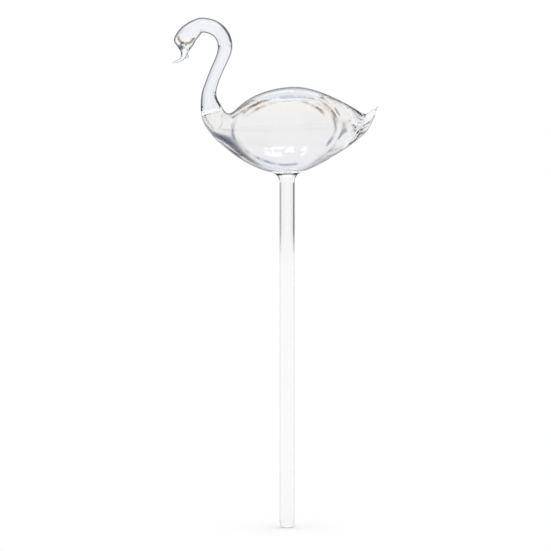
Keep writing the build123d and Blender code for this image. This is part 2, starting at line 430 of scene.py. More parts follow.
crown_top = neck_line[-2] + Vector((0, NECK_RADIUS * NECK_THICK_SHARES[-1]))
faces = outline(HEAD_FACE_SHARES, crown_top, -HEAD_LENGTH, -HEAD_DROP)
jaws = outline(HEAD_JAW_SHARES, crown_top, -HEAD_LENGTH, -HEAD_DROP)
bill_backs = outline(BILL_FACE_SHARES, jaws[-1], -BILL_LENGTH, -BILL_DROP)
bill_throats = outline(BILL_THROAT_SHARES, jaws[-1], -BILL_LENGTH, -BILL_DROP)
bill_point = outline([BILL_POINT_SHARE], jaws[-1], -BILL_LENGTH, -BILL_DROP)[0]


def swan_rings(wall):
    """The rings from the tail's point to the bill's, or those of the hollow where a wall is given."""
    tail_sizes = [tail_backs, tail_bellies, TAIL_WIDTH_SHARES]
    bulb_sizes = [backs, bellies, BULB_WIDTH_SHARES]
    head_sizes = [faces, jaws, HEAD_WIDTH_SHARES]
    if wall:
        tail_sizes += [TAIL_HOLLOW_SHARES, [wall - NECK_WALL] * len(tail_backs)]
        bulb_sizes += [BULB_HOLLOW_SHARES, [wall] + [wall + BULB_WALL - NECK_WALL] * (len(backs) - 1)]
        head_sizes += [HEAD_HOLLOW_SHARES, [wall] * len(faces)]
    tail = [ring(*sizes) for sizes in zip(*tail_sizes)]
    bulb = [ring(*sizes) for sizes in zip(*bulb_sizes)]
    neck = [
        round_ring(middle, way, NECK_RADIUS * share - wall)
        for middle, way, share in zip(neck_line[1:], neck_ways, NECK_THICK_SHARES)
    ]
    head = [ring(*sizes) for sizes in zip(*head_sizes)]
    return tail[::-1] + bulb[::-1] + neck + head


def smooth_run(rings):
    """Closer rings on smooth curves that pass by the given ones without a kink."""
    handles = [given.copy() for given in rings]
    for i in range(1, len(rings) - 1):
        handles[i] += rings[i] - (handles[i - 1] + 4 * handles[i] + handles[i + 1]) / 6
    handles = [2 * handles[0] - handles[1]] + handles + [2 * handles[-1] - handles[-2]]
    run = []
    for a, b, c, d in zip(handles, handles[1:], handles[2:], handles[3:]):
        for step in range(SKIN_STEPS):
            t = step / SKIN_STEPS
            early = (1 - t) ** 3 * a + (3 * t**3 - 6 * t**2 + 4) * b
            late = (1 + 3 * t + 3 * t**2 - 3 * t**3) * c + t**3 * d
            run.append((early + late) / 6)
    return run + [rings[-1]]


def part_of(run, first, last):
    """The stretch of a smooth run between two of the rings that it was made from."""
    return run[first * SKIN_STEPS:last * SKIN_STEPS + 1]


def ball_end(run, radius):
    """A run that ends in a small melted ball about its last ring's middle, in place of that ring."""
    way = Vector((run[-1] - run[-2])[:2]).normalized()
    ball = []
    for angle in (-25, 0, *DOME_ANGLES):
        middle = Vector(run[-1][:2]) + way * radius * math.sin(math.radians(angle))
        ball.append(round_ring(middle, way, radius * math.cos(math.radians(angle))))
    return run[:-1] + ball


def domed_end(run, height):
    """A run whose last ring is closed by a low dome."""
    way = Vector((run[-1] - run[-2])[:2]).normalized()
    dome = []
    for angle in DOME_ANGLES:
        wide = math.cos(math.radians(angle))
        middle = Vector(run[-1][:2]) + way * height * math.sin(math.radians(angle))
        dome.append(Vector((*middle, run[-1][2] * wide, run[-1][3] * wide, run[-1][4] * wide)))
    return run + dome


def in_ring_plane(rim):
    """Whether a point lies about in the plane of a ring."""
    middle = Vector((rim[0], 0, rim[1]))
    across = Vector((rim[3], 0, -rim[2])).normalized()
    return lambda point: abs((point - middle).dot(across)) < NEAR_RIM


# The two runs start at the tail. These are the places in them of the welds between the pieces.
outside = swan_rings(0)
outside.insert(0, round_ring(tail_point, Vector((1, 0)), TAIL_POINT_RADIUS))
outside += [ring(*sizes) for sizes in zip(bill_backs, bill_throats, BILL_WIDTH_SHARES)]
outside.append(round_ring(bill_point, Vector((-1, 0)), BILL_POINT_RADIUS))
TAIL_WELD = 1 + len(tail_backs)
NECK_WELD = TAIL_WELD + len(backs) - 1
CROWN_WELD = NECK_WELD + len(NECK_THICK_SHARES)
BILL_WELD = CROWN_WELD + len(faces)
hollow = swan_rings(NECK_WALL)
HOLLOW_TAIL_WELD = len(TAIL_HOLLOW_SHARES)
HOLLOW_SHIFT = TAIL_WELD - HOLLOW_TAIL_WELD
outside_run = smooth_run(outside)
hollow_run = smooth_run(hollow)


# The bulb
# The blown body, with its arched back. Its wall is thin and even, and thicker towards the welds. The
# seal under it fills a round hole. Above the water's two surfaces the hollow's wall is dry.
SEAL_RADIUS = 0.0094
# The bulb's outline is painted shade: near-black in its colour where the glass is seen at a slant.
BULB_SLANTS = (0.56, 0.76)
BULB_EDGE = (0.03, 0.04, 0.05, 1)
COOL = (0.92, 0.93, 0.965, 1)
WHITE = (1, 1, 1, 1)

# The water's surfaces, one under the arched back and one in the root of the neck. Each is a plane
# through its contact line with the glass, from its lower end to its higher one.
NECK_SIDE = -0.031
BACK_LEVEL = ((-0.0197, 0, 0.2243), (0.0208, 0, 0.2260))
NECK_LEVEL = ((-0.0443, 0, 0.2186), (-0.0356, 0, 0.2204))

# The tones of the hollow's wall, each at a share of the way up between two heights. Its broken lines are
# painted shade, and come between four slants: where they start, where they are full, and where they fade
# and end.
DRY_HEIGHTS = (0.225, 0.262)
DRY_LINE_SLANTS = (0.31, 0.37, 0.43, 0.49)
DRY_LINE_TONES = ((0.0, (0.40, 0.48, 0.62)), (0.6, (0.50, 0.56, 0.66)), (1.0, (0.62, 0.52, 0.44)))
# Under the water the wall has a slight milky tint with painted shade over it: greyer and cooler lower
# down, paler and warmer towards the top.
WET_HEIGHTS = (0.186, 0.228)
WET_TONES = (
    (0.0, (0.87, 0.87, 0.91)),
    (0.35, (0.88, 0.875, 0.89)),
    (0.7, (0.915, 0.905, 0.895)),
    (1.0, (0.97, 0.96, 0.94)),
)
WET_LINE_SLANTS = (0.205, 0.226, 0.246, 0.266)
WET_LINE_TONES = (
    (0.0, (1, 1, 1)),
    (0.2, (0.6, 0.65, 0.75)),
    (0.35, (0.10, 0.19, 0.32)),
    (0.6, (0.20, 0.21, 0.25)),
    (0.72, (0.30, 0.22, 0.17)),
    (1.0, (0.10, 0.07, 0.05)),
)
SHOULDER_HEIGHTS = (0.212, 0.216)
SHOULDER_LINE_SLANTS = (0.150, 0.166, 0.182, 0.198)
SHOULDER_LINE_TONES = ((0.0, (1, 1, 1)), (0.5, (0.30, 0.20, 0.13)), (1.0, (0.16, 0.11, 0.08)))
LINE_GAP_SCALE = 150.0
LINE_GAP_SPAN = (0.40, 0.56)

# How far up a place lies between two heights, from 0 at the lower one to 1 at the higher one.
height_share, share_in, share_out = start_effect("height_share", "Share", "Low", "High")
share_place = height_share.nodes.new("ShaderNodeTexCoord")
share_axes = height_share.nodes.new("ShaderNodeSeparateXYZ")
share_rise = height_share.nodes.new("ShaderNodeMapRange")
height_share.links.new(share_place.outputs["Object"], share_axes.inputs["Vector"])
height_share.links.new(share_axes.outputs["Z"], share_rise.inputs["Value"])
height_share.links.new(share_in.outputs["Low"], share_rise.inputs["From Min"])
height_share.links.new(share_in.outputs["High"], share_rise.inputs["From Max"])
height_share.links.new(share_rise.outputs["Result"], share_out.inputs["Share"])

# Broken dark lines painted inside an outline: painted shade where a blown wall of uneven thickness bends
# the light most.
broken_line, line_in, line_out = start_effect(
    "broken_line", "Amount", "Facing", "Start", "Full", "Fade", "End"
)
line_band = broken_line.nodes.new("ShaderNodeMath")
line_band.operation = "SUBTRACT"
for side, (low, high) in enumerate((("Start", "Full"), ("Fade", "End"))):
    slant = broken_line.nodes.new("ShaderNodeMapRange")
    broken_line.links.new(line_in.outputs["Facing"], slant.inputs["Value"])
    broken_line.links.new(line_in.outputs[low], slant.inputs["From Min"])
    broken_line.links.new(line_in.outputs[high], slant.inputs["From Max"])
    broken_line.links.new(slant.outputs["Result"], line_band.inputs[side])
line_place = broken_line.nodes.new("ShaderNodeTexCoord")
line_gaps = broken_line.nodes.new("ShaderNodeTexNoise")
line_gaps.inputs["Scale"].default_value = LINE_GAP_SCALE
broken_line.links.new(line_place.outputs["Object"], line_gaps.inputs["Vector"])
line_parts = broken_line.nodes.new("ShaderNodeMapRange")
line_parts.inputs["From Min"].default_value = LINE_GAP_SPAN[0]
line_parts.inputs["From Max"].default_value = LINE_GAP_SPAN[1]
broken_line.links.new(line_gaps.outputs["Fac"], line_parts.inputs["Value"])
line_amount = broken_line.nodes.new("ShaderNodeMath")
line_amount.operation = "MULTIPLY"
broken_line.links.new(line_band.outputs["Value"], line_amount.inputs[0])
broken_line.links.new(line_parts.outputs["Result"], line_amount.inputs[1])
broken_line.links.new(line_amount.outputs["Value"], line_out.inputs["Amount"])


def base_colour(material):
    return material.node_tree.nodes["Principled BSDF"].inputs["Base Color"]


def set_tones(ramp, tones):
    """Gives a ramp its tones, each at its place."""
    while len(ramp.color_ramp.elements) < len(tones):
        ramp.color_ramp.elements.new(0.5)
    for element, (position, tone) in zip(ramp.color_ramp.elements, tones):
        element.position = position
        element.color = (*tone, 1)


def tones_by_height(material, heights, tones):
    """A colour that changes with the height on a piece, between two heights."""
    tree = material.node_tree
    rise = tree.nodes.new("ShaderNodeGroup")
    rise.node_tree = height_share
    rise.inputs["Low"].default_value = heights[0]
    rise.inputs["High"].default_value = heights[1]
    ramp = tree.nodes.new("ShaderNodeValToRGB")
    set_tones(ramp, tones)
    tree.links.new(rise.outputs["Share"], ramp.inputs["Fac"])
    return ramp.outputs["Color"]


def draw_wall_lines(material, slants, heights, tones):
    """Multiplies broken lines of painted shade into a glass's colour, in tones that change with the
    height.
    """
    tree = material.node_tree
    facing = tree.nodes.new("ShaderNodeLayerWeight")
    line = tree.nodes.new("ShaderNodeGroup")
    line.node_tree = broken_line
    tree.links.new(facing.outputs["Facing"], line.inputs["Facing"])
    for socket, slant in zip(("Start", "Full", "Fade", "End"), slants):
        line.inputs[socket].default_value = slant
    drawn = tree.nodes.new("ShaderNodeMix")
    drawn.data_type = "RGBA"
    drawn.blend_type = "MULTIPLY"
    colour = base_colour(material)
    drawn.inputs["A"].default_value = colour.default_value
    if colour.is_linked:
        tree.links.new(colour.links[0].from_socket, drawn.inputs["A"])
    tree.links.new(tones_by_height(material, heights, tones), drawn.inputs["B"])
    tree.links.new(line.outputs["Amount"], drawn.inputs["Factor"])
    tree.links.new(drawn.outputs["Result"], colour)


def level_plane(level):
    low, high = (Vector(point) for point in level)
    along = high - low
    return low, Vector((-along.z, 0, along.x)).normalized()


def cut_at_level(piece, level, wanted, **how):
    """Cuts the wanted faces along a water level and leaves the new edges or face selected."""
    place, upwards = level_plane(level)
    bpy.context.view_layer.objects.active = piece
    bpy.ops.object.mode_set(mode="EDIT")
    bpy.ops.mesh.select_mode(type="FACE")
    bpy.ops.mesh.select_all(action="DESELECT")
    bpy.ops.object.mode_set(mode="OBJECT")
    for face in piece.data.polygons:
        face.select = wanted(face.center)
    bpy.ops.object.mode_set(mode="EDIT")
    bpy.ops.mesh.bisect(plane_co=place, plane_no=upwards, **how)


def on_neck_side(point):
    return point.x < NECK_SIDE


def on_back_side(point):
    return point.x >= NECK_SIDE


def wet_hollow(skin):
    """Gives a hollow's faces their material: wet glass below the water's surfaces, else dry."""
    wear(skin, dry_glass, wet_glass)
    for level, wanted in ((NECK_LEVEL, on_neck_side), (BACK_LEVEL, on_back_side)):
        cut_at_level(skin, level, wanted)
        bpy.ops.object.mode_set(mode="OBJECT")
    for face in skin.data.polygons:
        level = NECK_LEVEL if on_neck_side(face.center) else BACK_LEVEL
        place, upwards = level_plane(level)
        face.material_index = 1 if (face.center - place).dot(upwards) < 0 else 0


def cut_away(piece, tool):
    """Cuts a tool out of a piece, and keeps the tool."""
    cut = piece.modifiers.new("cut", "BOOLEAN")
    cut.object = tool
    cut.operation = "DIFFERENCE"
    cut.solver = "EXACT"
    cut.material_mode = "TRANSFER"
    bpy.context.view_layer.objects.active = piece
    bpy.ops.object.modifier_apply(modifier=cut.name)


def throw_away(*tools):
    start_piece()
    for tool in tools:
        tool.select_set(True)
    bpy.ops.object.delete()


# The bulb's outer skin carries the painted dark outline.
blown_glass = clear_stuff("blown_glass", GLASS_REFRACTION, CLEAR, BULB_SLANTS, BULB_EDGE)
dry_glass = clear_stuff("dry_glass", GLASS_REFRACTION, COOL)
# Painted shade: broken dark lines in the hollow wall's colour, above the water and below it.
draw_wall_lines(dry_glass, DRY_LINE_SLANTS, DRY_HEIGHTS, DRY_LINE_TONES)
wet_glass = clear_stuff("wet_glass", GLASS_IN_WATER, CLEAR)
# The wet wall's colour is the milky tint with painted shade that changes with the height.
wet_glass.node_tree.links.new(tones_by_height(wet_glass, WET_HEIGHTS, WET_TONES), base_colour(wet_glass))
draw_wall_lines(wet_glass, WET_LINE_SLANTS, WET_HEIGHTS, WET_LINE_TONES)
draw_wall_lines(wet_glass, SHOULDER_LINE_SLANTS, SHOULDER_HEIGHTS, SHOULDER_LINE_TONES)

bulb = draw_skin("body_bulb_glass", part_of(outside_run, TAIL_WELD, NECK_WELD))
wear(bulb, blown_glass, fused_seam)
bulb_hollow = draw_skin("bulb_hollow", part_of(hollow_run, HOLLOW_TAIL_WELD, NECK_WELD - HOLLOW_SHIFT))
wet_hollow(bulb_hollow)
line_with(bulb, bulb_hollow)
close_seam(bulb, in_ring_plane(outside_run[TAIL_WELD * SKIN_STEPS]))
close_seam(bulb, in_ring_plane(outside_run[NECK_WELD * SKIN_STEPS]))
turn_outwards(bulb)
start_piece()
bpy.ops.mesh.primitive_cylinder_add(
    vertices=SKIN_SIDES, radius=SEAL_RADIUS, depth=4 * SEAL_HEIGHT,
    location=(0, 0, STEM_TOP + 2 * SEAL_HEIGHT),
)
bpy.ops.object.transform_apply()
boss = bpy.context.object
wear(boss, fused_seam)
cut_away(bulb, boss)
throw_away(boss)
finish_piece(bulb, "body_bulb")


# The seal
# The flared joint between the stem and the belly. Both its skins follow the bulb's, and the outer
# one turns down into the stem in a round fillet. The melted glass there bends the light little.
SEAL_FILLET = 0.0042
SEAL_BORE_FILLET = 0.0006
SEAL_REFRACTION = 1.15
LAND_STEPS = 6
FILLET_STEP = 10


def select_round(skin, radius):
    """Selects the ring of points at a radius from the stem's axis, in edit mode."""
    bpy.ops.object.mode_set(mode="EDIT")
    bpy.ops.mesh.select_mode(type="VERT")
    bpy.ops.mesh.select_all(action="DESELECT")
    bpy.ops.object.mode_set(mode="OBJECT")
    for point in skin.data.vertices:
        point.select = abs(point.co.to_2d().length - radius) < ON_RIM
    bpy.ops.object.mode_set(mode="EDIT")


def seal_skin(name, form, end_radius, fillet):
    """Rings projected up onto a skin of the bulb, then lowered to a fillet and a straight tube."""
    start_piece()
    bpy.ops.mesh.primitive_circle_add(
        vertices=SKIN_SIDES, radius=SEAL_RADIUS, location=(0, 0, STEM_TOP)
    )
    bpy.ops.object.transform_apply()
    skin = bpy.context.object
    skin.name = name
    start = end_radius + fillet
    arc = [math.radians(angle) for angle in range(0, 90 + FILLET_STEP, FILLET_STEP)]
    radii = even(SEAL_RADIUS, start, LAND_STEPS)[:-1] + [start - fillet * math.sin(angle) for angle in arc]
    drops = [0] * LAND_STEPS + [fillet * (1 - math.cos(angle)) for angle in arc]
    bpy.ops.object.mode_set(mode="EDIT")
    bpy.ops.mesh.select_mode(type="VERT")
    bpy.ops.mesh.select_all(action="SELECT")
    for before, after in zip(radii, radii[1:]):
        bpy.ops.mesh.extrude_region_move(TRANSFORM_OT_translate={"value": (0, 0, 0)})
        smaller = after / before
        bpy.ops.transform.resize(value=(smaller, smaller, 1), center_override=(0, 0, STEM_TOP))
    bpy.ops.object.mode_set(mode="OBJECT")

    lift = skin.modifiers.new("lift", "SHRINKWRAP")
    lift.target = form
    lift.wrap_method = "PROJECT"
    lift.use_project_z = True
    bpy.ops.object.modifier_apply(modifier=lift.name)

    for radius, drop in zip(radii, drops):
        if drop:
            select_round(skin, radius)
            bpy.ops.transform.translate(value=(0, 0, -drop))
            bpy.ops.object.mode_set(mode="OBJECT")
    select_round(skin, radii[-1])
    bpy.ops.mesh.extrude_region_move(TRANSFORM_OT_translate={"value": (0, 0, 0)})
    bpy.ops.transform.resize(value=(1, 1, 0), center_override=(0, 0, STEM_TOP))
    bpy.ops.object.mode_set(mode="OBJECT")
    return skin


seal_glass = clear_stuff("seal_glass", SEAL_REFRACTION, CLEAR)
belly_form = draw_skin("belly_form", part_of(outside_run, TAIL_WELD, NECK_WELD))
hollow_form = draw_skin("hollow_form", part_of(hollow_run, HOLLOW_TAIL_WELD, NECK_WELD - HOLLOW_SHIFT))
seal = seal_skin("stem_seal_glass", belly_form, STEM_RADIUS, SEAL_FILLET)
wear(seal, seal_glass, fused_seam)
seal_hollow = seal_skin("seal_hollow", hollow_form, STEM_BORE_RADIUS, SEAL_BORE_FILLET)
wear(seal_hollow, wet_bore)
throw_away(belly_form, hollow_form)
line_with(seal, seal_hollow)
close_seam(seal, at_height(STEM_TOP))
close_seam(seal, lambda point: point.to_2d().length > SEAL_RADIUS - ON_RIM)
finish_piece(seal, "stem_seal")


# The tail
# The drawn-out tail behind the bulb. It is hollow at its root, where the water stands and the hollow
# can't be made out, and it ends in a small melted ball.
TAIL_HOLLOW_DOME = 0.0003
# The tail's outline is painted shade: near-black in its colour where the glass is seen at a slant.
TAIL_SLANTS = (0.55, 0.76)
TAIL_EDGE = (0.03, 0.04, 0.06, 1)

tail_glass = clear_stuff("tail_glass", GLASS_REFRACTION, CLEAR, TAIL_SLANTS, TAIL_EDGE, 0)
tail_run = ball_end(part_of(outside_run, 0, TAIL_WELD)[::-1], TAIL_POINT_RADIUS)
tail = draw_skin("tail_point_glass", tail_run, True)
wear(tail, tail_glass, fused_seam)
tail_hollow_run = domed_end(part_of(hollow_run, 0, HOLLOW_TAIL_WELD)[::-1], TAIL_HOLLOW_DOME)
tail_hollow = draw_skin("tail_hollow", tail_hollow_run, True)
wear(tail_hollow, fused_seam)
line_with(tail, tail_hollow)
close_seam(tail, in_ring_plane(outside_run[TAIL_WELD * SKIN_STEPS]))
finish_piece(tail, "tail_point")


# The neck
# A hollow glass tube, drawn from the front of the bulb in the curve of an S. It holds air, and it is thick
# for its width. Its edges are strong dark lines of painted shade, near-black in its colour where the glass
# is seen at a slant.
DRAWN_SLANTS = (0.30, 0.52)
DRAWN_EDGE = (0.02, 0.02, 0.03, 1)

drawn_glass = clear_stuff("drawn_glass", GLASS_REFRACTION, CLEAR, DRAWN_SLANTS, DRAWN_EDGE)
neck = draw_skin("neck_tube_glass", part_of(outside_run, NECK_WELD, CROWN_WELD))
wear(neck, drawn_glass, fused_seam)
neck_hollow_run = part_of(hollow_run, NECK_WELD - HOLLOW_SHIFT, CROWN_WELD - HOLLOW_SHIFT)
neck_hollow = draw_skin("neck_hollow", neck_hollow_run)
wear(neck_hollow, dry_glass)
line_with(neck, neck_hollow)
close_seam(neck, in_ring_plane(outside_run[NECK_WELD * SKIN_STEPS]))
close_seam(neck, in_ring_plane(outside_run[CROWN_WELD * SKIN_STEPS]))
finish_piece(neck, "neck_tube")


# The head
# The neck's closed end, blown out a little. Its hollow ends in a dome at the cheek, and the glass
# below is solid, down to the weld with the bill.
HEAD_HOLLOW_DOME = 0.0012
# The lower faces of the hollow's dome are painted dark brown where they are seen at a slant: painted
# shade, in bands where the dome turns.
CHEEK_LEVEL = 0.2575
CHEEK_SLANTS = (0.12, 0.30)
CHEEK_BROWN = (0.16, 0.09, 0.05, 1)
CHEEK_RIPPLE = 0.6
# The painted dark spot of shade in the head's glass.
SPOT_SHADE = (0.08, 0.10, 0.14, 1)
SPOT_MIDDLE = (-0.0557, 0, 0.2523)
SPOT_RADIUS = 0.0022
SPOT_FADE = 1.4
SPOT_GRAIN = 700.0


def shadow_spot(material):
    """A painted dark spot of shade with a ragged edge in the glass, which shows from both sides."""
    tree = material.node_tree
    place = tree.nodes.new("ShaderNodeTexCoord")
    split = tree.nodes.new("ShaderNodeSeparateXYZ")
    tree.links.new(place.outputs["Object"], split.inputs["Vector"])
    flat = tree.nodes.new("ShaderNodeCombineXYZ")
    tree.links.new(split.outputs["X"], flat.inputs["X"])
    tree.links.new(split.outputs["Z"], flat.inputs["Z"])
    apart = tree.nodes.new("ShaderNodeVectorMath")
    apart.operation = "DISTANCE"
    tree.links.new(flat.outputs["Vector"], apart.inputs[0])
    apart.inputs[1].default_value = SPOT_MIDDLE
    grain = tree.nodes.new("ShaderNodeTexNoise")
    grain.inputs["Scale"].default_value = SPOT_GRAIN
    tree.links.new(place.outputs["Object"], grain.inputs["Vector"])
    ragged = tree.nodes.new("ShaderNodeMath")
    ragged.operation = "MULTIPLY_ADD"
    ragged.inputs[1].default_value = SPOT_RADIUS
    tree.links.new(grain.outputs["Fac"], ragged.inputs[0])
    tree.links.new(apart.outputs["Value"], ragged.inputs[2])
    clear = tree.nodes.new("ShaderNodeMapRange")
    clear.inputs["From Min"].default_value = SPOT_RADIUS
    clear.inputs["From Max"].default_value = SPOT_FADE * SPOT_RADIUS
    tree.links.new(ragged.outputs["Value"], clear.inputs["Value"])
    tint = tree.nodes.new("ShaderNodeMix")
    tint.data_type = "RGBA"
    tint.inputs["A"].default_value = SPOT_SHADE
    colour = base_colour(material)
    tree.links.new(clear.outputs["Result"], tint.inputs["Factor"])
    tree.links.new(colour.links[0].from_socket, tint.inputs["B"])
    tree.links.new(tint.outputs["Result"], colour)


# The head's outline is painted shade like the neck's, and its glass carries the painted dark spot.
head_glass = clear_stuff("head_glass", GLASS_REFRACTION, CLEAR, DRAWN_SLANTS, DRAWN_EDGE)
shadow_spot(head_glass)
# Painted shade: dark brown bands on the dome's lower faces.
cheek_glass = clear_stuff(
    "cheek_glass", GLASS_REFRACTION, CLEAR, CHEEK_SLANTS, CHEEK_BROWN, CHEEK_RIPPLE
)
head = draw_skin("head_bulb_glass", part_of(outside_run, CROWN_WELD, BILL_WELD))
wear(head, head_glass, fused_seam)
head_hollow_run = part_of(hollow_run, CROWN_WELD - HOLLOW_SHIFT, len(hollow) - 1)
head_hollow = draw_skin("head_hollow", domed_end(head_hollow_run, HEAD_HOLLOW_DOME), True)
wear(head_hollow, dry_glass, cheek_glass)
for face in head_hollow.data.polygons:
    if face.center.z < CHEEK_LEVEL:
        face.material_index = head_hollow.data.materials.find(cheek_glass.name)
line_with(head, head_hollow)
close_seam(head, in_ring_plane(outside_run[CROWN_WELD * SKIN_STEPS]))
close_seam(head, in_ring_plane(outside_run[BILL_WELD * SKIN_STEPS]))
finish_piece(head, "head_bulb")


# The bill
# A solid hook of the same glass, drawn from the head's lower end. Its point is melted to a small
# ball.
BILL_TINT = (0.90, 0.93, 0.96, 1)
# The outlines of the bill and the bead are painted shade: near-black blue in their colour where the glass
# is seen at a slant.
BILL_SLANTS = (0.18, 0.42)
BILL_EDGE = (0.03, 0.05, 0.08, 1)
BILL_RIPPLE = 0.2

bill_glass = clear_stuff(
    "bill_glass", GLASS_REFRACTION, BILL_TINT, BILL_SLANTS, BILL_EDGE, BILL_RIPPLE
)
bill_run = ball_end(part_of(outside_run, BILL_WELD, len(outside) - 1), BILL_POINT_RADIUS)
bill = draw_skin("bill_hook_glass", bill_run, True)
wear(bill, bill_glass, fused_seam)
close_seam(bill, in_ring_plane(outside_run[BILL_WELD * SKIN_STEPS]))
finish_piece(bill, "bill_hook")


# The bead
# A small bead of glass, melted on in the corner under the root of the bill.
CHIN_BEAD_SHARE = (0.071, 0.302)
CHIN_BEAD_RADIUS = 0.00095
CHIN_BEAD_SIDES = 32
CHIN_BEAD_RINGS = 20

bead_x, bead_z = outline([CHIN_BEAD_SHARE], jaws[-1], -BILL_LENGTH, -BILL_DROP)[0]
start_piece()
bpy.ops.mesh.primitive_uv_sphere_add(
    segments=CHIN_BEAD_SIDES, ring_count=CHIN_BEAD_RINGS, radius=CHIN_BEAD_RADIUS,
    location=(bead_x, 0, bead_z),
)
bpy.ops.object.transform_apply()
bead = bpy.context.object
bead.name = "chin_bead_glass"
wear(bead, bill_glass)
cut_away(bead, head)
cut_away(bead, bill)
finish_piece(bead, "chin_bead")


# The water
# It fills the stem, the bulb and the tail. It climbs the glass a little round each of its surfaces, where
# it shows as a white rim over a thin dark line: the rim is a painted highlight that glows, and the line is
# painted shade.
WATER_GAP = 0.00005
BACK_MENISCUS = ((0.0003, 0.0013), (0.0007, 0.0006), (0.0012, 0.0005), (0.0020, 0.0003))
NECK_MENISCUS = ((0.0003, 0.0018), (0.0006, 0.0004), (0.0008, 0.0001))
# The thin dark line under the rim is painted shade in the water's colour.
WATER_SHADE = (0.40, 0.40, 0.44, 1)
# The rim's painted highlight: a nearly opaque white sheet that glows though it is no lamp.
RIM_COVER = 0.85
RIM_GLOW = 0.6

water = clear_stuff("water", WATER_REFRACTION, WHITE, ripple=0)
# Painted shade for the thin dark line under each rim.
water_shadow = clear_stuff("water_shadow", WATER_REFRACTION, WATER_SHADE, ripple=0)
# Painted highlight: the rim glows white.
water_rim = bpy.data.materials.new("water_rim")
water_rim.use_nodes = True
bright_rim = water_rim.node_tree.nodes["Principled BSDF"]
bright_rim.inputs["Base Color"].default_value = WHITE
bright_rim.inputs["Alpha"].default_value = RIM_COVER
bright_rim.inputs["Emission Color"].default_value = WHITE
bright_rim.inputs["Emission Strength"].default_value = RIM_GLOW

water_rings = swan_rings(NECK_WALL + WATER_GAP)
water_run = part_of(smooth_run(water_rings), 0, NECK_WELD - HOLLOW_SHIFT)[::-1]
charge = draw_skin("water_charge", domed_end(water_run, TAIL_HOLLOW_DOME), True)
wear(charge, fused_seam, water, water_rim, water_shadow)
for level, wanted, meniscus in (
    (NECK_LEVEL, on_neck_side, NECK_MENISCUS),
    (BACK_LEVEL, on_back_side, BACK_MENISCUS),
):
    cut_at_level(charge, level, wanted, use_fill=True, clear_outer=True)
    charge.active_material_index = charge.data.materials.find(water_rim.name)
    bpy.ops.object.material_slot_assign()
    for (inward, down), stuff in zip(meniscus, (water_shadow, water, water, water)):
        bpy.ops.mesh.inset(thickness=inward)
        bpy.ops.transform.translate(value=(0, 0, -down))
        charge.active_material_index = charge.data.materials.find(stuff.name)
        bpy.ops.object.material_slot_assign()
    bpy.ops.object.mode_set(mode="OBJECT")

column_sizes = [(radius - WATER_GAP, height) for radius, height in bore_sizes]
column_sizes = [(NOZZLE_BORE_RADIUS - WATER_GAP, WATER_LOW)] + column_sizes
column_sizes.append((STEM_BORE_RADIUS - WATER_GAP, STEM_TOP + SEAL_HEIGHT))
column = draw_skin("water_column", upright_run(column_sizes), True)
wear(column, fused_seam, water)
line_with(charge, column)
select_rim(charge, at_height(WATER_LOW))
bpy.ops.mesh.edge_face_add()
charge.active_material_index = charge.data.materials.find(water.name)
bpy.ops.object.material_slot_assign()
bpy.ops.object.mode_set(mode="OBJECT")
finish_piece(charge)


# The room
# A plain white room, which is the only light. The glass sees it white too, but for the dark corners
# that draw its outlines, and bright window panes. Its surface mirrors the white a little less.
MIRROR_LOSS = 0.4

# Each span is where a part of the room begins and where it is full. It is measured on a way of length
# 1 from the swan, by how far the way rises, how far it reaches towards the tail or to one side, or how
# far from a corner's middle it points.
CORNER_SPAN = (0.34, 0.62)
CEILING_SPAN = (0.60, 0.80)
TAIL_SIDE_SPAN = (-0.05, 0.05)
RAISED_SPAN = (0.08, 0.16)
EYE_SPAN = (-0.01, 0.03)
FLOOR_LINE_SPAN = (-0.047, -0.035)
TAIL_SIDE_LOSS = 0.45
HEAD_SIDE_DARK = 0.25
ABOVE_EYE_LOSS = 0.6
DARK_TONES = ((0.0, (0.01, 0.01, 0.01)), (0.25, (0.02, 0.05, 0.10)), (0.6, (0.10, 0.07, 0.04)))
WINDOW_SILL_SPAN = (0.16, 0.20)
WINDOW_TOP_SPAN = (0.30, 0.34)
WINDOW_SIDE_SPAN = (0.14, 0.20)
WINDOW_PATCH_SCALE = 14.0
WINDOW_PATCH_SPAN = (0.50, 0.54)
WINDOW_GLOW = 0.35

world = bpy.data.worlds.new("room")
bpy.context.scene.world = world
world.use_nodes = True
room = world.node_tree
background = room.nodes["Background"]
way = room.nodes.new("ShaderNodeTexCoord")
parts = room.nodes.new("ShaderNodeSeparateXYZ")
room.links.new(way.outputs["Generated"], parts.inputs["Vector"])


def room_math(operation, *values):
    """One step of arithmetic on numbers and on other nodes' values."""
    node = room.nodes.new("ShaderNodeMath")
    node.operation = operation
    for socket, value in zip(node.inputs, values):
        if isinstance(value, (int, float)):
            socket.default_value = value
        else:
            room.links.new(value, socket)
    return node.outputs["Value"]


def room_step(value, span):
    """Rises smoothly from 0 to 1 as a value crosses a span."""
    node = room.nodes.new("ShaderNodeMapRange")
    node.interpolation_type = "SMOOTHSTEP"
    room.links.new(value, node.inputs["Value"])
    node.inputs["From Min"].default_value = span[0]
    node.inputs["From Max"].default_value = span[1]
    return node.outputs["Result"]


def less(value):
    """What a share leaves of the whole."""
    return room_math("SUBTRACT", 1.0, value)


